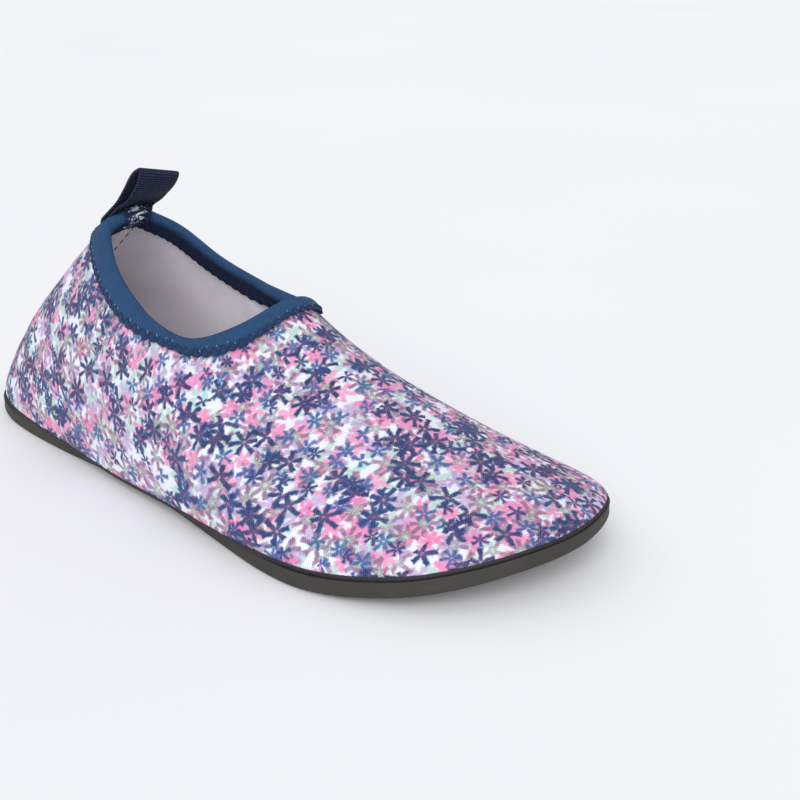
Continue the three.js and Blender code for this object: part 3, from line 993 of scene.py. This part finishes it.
bartack = {
    "rows": 12,
    "width": 9.0,
    "from": 5.0,
    "to": 13.0,
    "curls": 110,
    "runs": ((0.2, -2.2), (-1.0, -3.2)),  # lean of each white run, at its start and end
    "thread": 0.7,
    "aside": (-7.0, 5.4),  # where the loose threads lie
    "along": (4.8, 12.6),
    "frizz": (0.4, 0.5, 1.6),  # how far they stand up
}


def onHeel(aside, travelled, lifted):
    return bindingPoint(-aside / collarLength, travelled, binding["thickness"] / 2 + lifted)


def sewnAcross(leanFrom, leanTo):
    run = []
    for row in range(bartack["rows"]):
        travelled = mix(bartack["from"], bartack["to"], row / (bartack["rows"] - 1))
        reach = bartack["width"] / 2 * dice.uniform(0.6, 1.15)
        lean = mix(leanFrom, leanTo, row / (bartack["rows"] - 1))
        side = reach if row % 2 else -reach
        run.append(onHeel(lean + side, travelled, 0.3))
        run.append(onHeel(lean + side * 0.1, travelled + 0.4, 0.6))
        if row % 3 == 1:
            run.append(onHeel(lean - reach * 0.5, travelled - 0.7, 0.7))
    return run


whiteRuns = [sewnAcross(*leans) for leans in bartack["runs"]]
addThreads("loop_bartack", whiteRuns, bartack["thread"], whiteThread)

curls = []
for number in range(bartack["curls"]):
    aside = dice.uniform(*bartack["aside"])
    travelled = dice.uniform(*bartack["along"])
    heading = dice.uniform(0, math.tau)
    sweep = dice.uniform(2.4, 4.8)
    size = dice.uniform(0.5, 1.3)
    frizz = dice.choice(bartack["frizz"])
    run = []
    for step in range(9):
        angle = heading + sweep * step / 8
        raised = 0.1 + frizz * math.sin(math.pi * step / 8)
        run.append(onHeel(aside + size * math.cos(angle), travelled + size * math.sin(angle), raised))
    curls.append(run)
addThreads("loop_threads", curls, 0.42, navyThread)

welt = {"width": 5.0, "height": 0.9, "dashes": 22}


def weltPoint(u, v):
    rise = mix(riseBelow(0, 5.6), 0.04, v)
    pace = (ribPoint(nudge, rise) - ribPoint(-nudge, rise)).length / (2 * nudge)
    aside = (u - 0.5) * welt["width"]
    crown = welt["height"] * (1 - (2 * u - 1) ** 4) - 0.2
    return skinPoint(aside / pace, rise, -last["wall"] - crown)


seamWelt = shapedGrid(10, 40, weltPoint, (0.005, 0.06))
bmesh.ops.recalc_face_normals(seamWelt, faces=seamWelt.faces)
backWelt = addPiece("back_welt", seamWelt, [liningKnit])
addWall(backWelt, 0.4, 0.0)

dashes = []
for number in range(welt["dashes"]):
    start = mix(riseBelow(0, 7.0), 0.08, number / welt["dashes"])
    end = mix(riseBelow(0, 7.0), 0.08, (number + 0.45) / welt["dashes"])
    run = []
    for rise in (start, (start + end) / 2, end):
        pace = (ribPoint(nudge, rise) - ribPoint(-nudge, rise)).length / (2 * nudge)
        run.append(skinPoint(-2.0 / pace, rise, -last["wall"] - welt["height"]))
    dashes.append(run)
addThreads("welt_stitches", dashes, 0.3, navyThread)
print("heel trim ready")


# Outsole: one piece of foamed rubber with bowed grooves across its tread

outsole = {
    "rows": 560,
    "across": 40,
    "rim": 0.9,
    "waistTuck": 3.6,
    "rounding": 1.5,
    "grooves": [0.1, 0.15, 0.2, 0.6, 0.65, 0.7, 0.75, 0.8, 0.85],
    "grooveWidth": 2.2,
    "grooveDepth": 1.3,
    "grooveBow": 5.0,
    "grooveSlope": 0.3,
    "border": 8.0,
    "hollow": 0.1,  # of the side wall
    "lip": 0.5,  # the side wall's rise over the seam
    "lipWidth": 1.2,
    "lipRounding": 0.2,
    "lipSlant": 0.02,
    "roundedUp": 5,  # steps up the side: end of the rounding, of the wall and of the lip
    "wallUp": 10,
    "lipUp": 13,
}


@lru_cache(maxsize=None)
def soleEdge(turn, step):
    rim = mix(outsole["rim"], -outsole["waistTuck"], soleTuck(turn))
    low = outsole["rounding"]
    over = outsole["lip"] * (1 - soleTuck(turn))
    rounded, wallEnd = outsole["roundedUp"], outsole["wallUp"]
    if step <= rounded:
        angle = math.pi / 2 * step / rounded
        inset = low * (1 - math.sin(angle))
        return outlinePoint(turn, rim - inset, lambda x: floorAt(x) + low * (1 - math.cos(angle)))
    small = outsole["lipRounding"]
    if step <= wallEnd:
        share = (step - rounded) / (wallEnd - rounded)
        wave = outsole["hollow"] * math.sin(math.pi * share)
        return outlinePoint(
            turn, rim - wave, lambda x: mix(floorAt(x) + low, soleTopAt(x) + over - small, share))
    width = outsole["lipWidth"]
    lipSteps = ((small, over), (width, over), (width + outsole["lipSlant"], 0.0))
    inset, height = lipSteps[step - wallEnd - 1]
    return outlinePoint(turn, rim - inset, lambda x: soleTopAt(x) + height)


def grooveAt(x, y, lateral, medial):
    depth = 0.0
    share = (y - lateral - outsole["border"]) / (medial - lateral - 2 * outsole["border"])
    if 0 < share < 1:
        bow = outsole["grooveBow"] * math.sin(math.pi * share)
        ends = ease(0, 0.03, share) * ease(0, 0.03, 1 - share)
        for place in outsole["grooves"]:
            away = abs(x - place * last["length"] - bow)
            half, slope = outsole["grooveWidth"] / 2, outsole["grooveSlope"]
            depth = max(depth, 1 - ease(half - slope, half + slope, away))
        depth *= ends
    return depth * outsole["grooveDepth"]


def treadPoint(u, v):
    lateral = soleEdge(v / 2, 0)
    medial = soleEdge((1 - v / 2) % 1, 0)
    point = lateral.lerp(medial, u)
    point.z += grooveAt(point.x, point.y, lateral.y, medial.y)
    return point


def soleSidePoint(u, v):
    return soleEdge(round(u, 6) % 1, round(v * outsole["lipUp"]))


def soleTopPoint(u, v):
    lateral = soleEdge(v / 2, outsole["lipUp"])
    medial = soleEdge((1 - v / 2) % 1, outsole["lipUp"])
    return medial.lerp(lateral, u)


rubber = joined([
    shapedGrid(outsole["across"], outsole["rows"], treadPoint),
    shapedGrid(outsole["rows"] * 2, outsole["lipUp"], soleSidePoint),
    shapedGrid(2, outsole["rows"], soleTopPoint),
])
addPiece("outsole_rubber", rubber, [foamedRubber], ("outsole",))

seamBand = {
    "proud": 0.2,
    "tucked": -0.6,  # the same at the waist
    "inner": -5.0,
    "over": 0.45,
    "ticks": 190,
    "tickFrom": 0.9,
    "tickTo": 1.8,
    "tickLean": 0.0004,
}


def seamPoint(turn, share):
    angle = math.tau * share
    bottom = last["clearance"] - seamBand["over"]
    top = last["clearance"] * 2 + last["seamHeight"] + seamBand["over"]
    across = math.copysign(abs(math.sin(angle)) ** 0.6, math.sin(angle))
    height = math.copysign(abs(math.cos(angle)) ** 0.5, math.cos(angle))
    proud = mix(seamBand["proud"], seamBand["tucked"], soleTuck(turn))
    offset = mix(seamBand["inner"], proud, across / 2 + 0.5)
    return outlinePoint(turn, offset, lambda x: soleTopAt(x) + mix(bottom, top, 0.5 - height / 2))


addPiece("seam_band", shapedGrid(480, 16, seamPoint), [seamCement], ("sole_seam",))

footTurn = roundEvenly(featherPoint)[0]
ticks = []
for number in range(seamBand["ticks"]):
    turn = footTurn((number + dice.uniform(-0.12, 0.12)) / seamBand["ticks"])
    proud = mix(seamBand["proud"], seamBand["tucked"], soleTuck(turn))
    low = outlinePoint(turn, proud + 0.05, lambda x: soleTopAt(x) + seamBand["tickFrom"])
    high = outlinePoint(
        turn + seamBand["tickLean"], proud + 0.1, lambda x: soleTopAt(x) + seamBand["tickTo"])
    ticks.append([low, high])
addThreads("seam_ticks", ticks, 0.24, seamThread)
print("sole ready")


# Insole: a thin padded board covered with fabric

insole = {"thickness": 2.4, "edge": -5.35, "rounding": 1.1}


@lru_cache(maxsize=None)
def padEdge(turn, inset, height):
    return outlinePoint(turn, insole["edge"] - inset, lambda x: soleTopAt(x) + last["clearance"] + height)


def padPoint(u, v, height, inset):
    return padEdge(v / 2, inset, height).lerp(padEdge((1 - v / 2) % 1, inset, height), u)


def padSidePoint(u, v):
    low = insole["rounding"]
    height = v * 2 * (insole["thickness"] - low)
    inset = 0.0
    if v > 0.5:
        angle = math.pi / 2 * (v - 0.5) * 2
        height = insole["thickness"] - low + low * math.sin(angle)
        inset = low * (1 - math.cos(angle))
    return padEdge(round(u, 6) % 1, round(inset, 6), round(height, 6))


pad = joined([
    shapedGrid(2, 140, lambda u, v: padPoint(1 - u, v, insole["thickness"], insole["rounding"])),
    shapedGrid(280, 8, padSidePoint),
    shapedGrid(2, 140, lambda u, v: padPoint(u, v, 0.0, 0.0)),
])
addPiece("insole_pad", pad, [insoleFabric], ("insole",))
print("insole ready")


# Floor, light and camera

stage = {
    "floor": paint("#fbfbfc"),
    "world": (0.95, 0.965, 1.0, 1.0),
    "worldStrength": 0.72,
    "sunStrength": 1.75,
    "sunHeading": (-0.5, 0.66, -0.56),
    "sunSoftness": 50.0,  # degrees
    "floorShade": paint("#efeff1"),
    "floorSize": 30.0,
}


def makeFloor():
    finish = Finish("paleFloor")
    spot = finish.millimetres("Object")
    shade = finish.grain(spot, 400.0)
    shown = finish.blended(stage["floor"], stage["floorShade"], shade)
    bm = bmesh.new()
    bmesh.ops.create_grid(bm, x_segments=1, y_segments=1, size=stage["floorSize"])
    mesh = bpy.data.meshes.new("floor")
    bm.to_mesh(mesh)
    bm.free()
    mesh.materials.append(finish.surface({"Base Color": shown, "Roughness": 0.9}))
    floor = bpy.data.objects.new("floor", mesh)
    bpy.context.scene.collection.objects.link(floor)


makeFloor()
world = bpy.data.worlds.new("studio")
world.use_nodes = True
world.node_tree.nodes["Background"].inputs["Color"].default_value = stage["world"]
world.node_tree.nodes["Background"].inputs["Strength"].default_value = stage["worldStrength"]
bpy.context.scene.world = world
bpy.context.scene.view_settings.view_transform = "Standard"
softSun = bpy.data.lights.new("softKey", "SUN")
softSun.energy = stage["sunStrength"]
softSun.angle = math.radians(stage["sunSoftness"])
keyLight = bpy.data.objects.new("softKey", softSun)
keyLight.rotation_euler = Vector(stage["sunHeading"]).to_track_quat("-Z", "Y").to_euler()
bpy.context.scene.collection.objects.link(keyLight)

photoView = {
    "lens": 61.4,
    "sensor": 36.0,
    "shift": -0.05,
    "place": (0.2971, -0.2837, 0.1881),
    "looking": (-0.6015, 0.7220, -0.3420),
}
camera = bpy.data.cameras.new("photoView")
camera.lens = photoView["lens"]
camera.sensor_width = photoView["sensor"]
camera.shift_y = photoView["shift"]
viewer = bpy.data.objects.new("photoView", camera)
viewer.location = photoView["place"]
viewer.rotation_euler = Vector(photoView["looking"]).to_track_quat("-Z", "Y").to_euler()
bpy.context.scene.collection.objects.link(viewer)
bpy.context.scene.camera = viewer
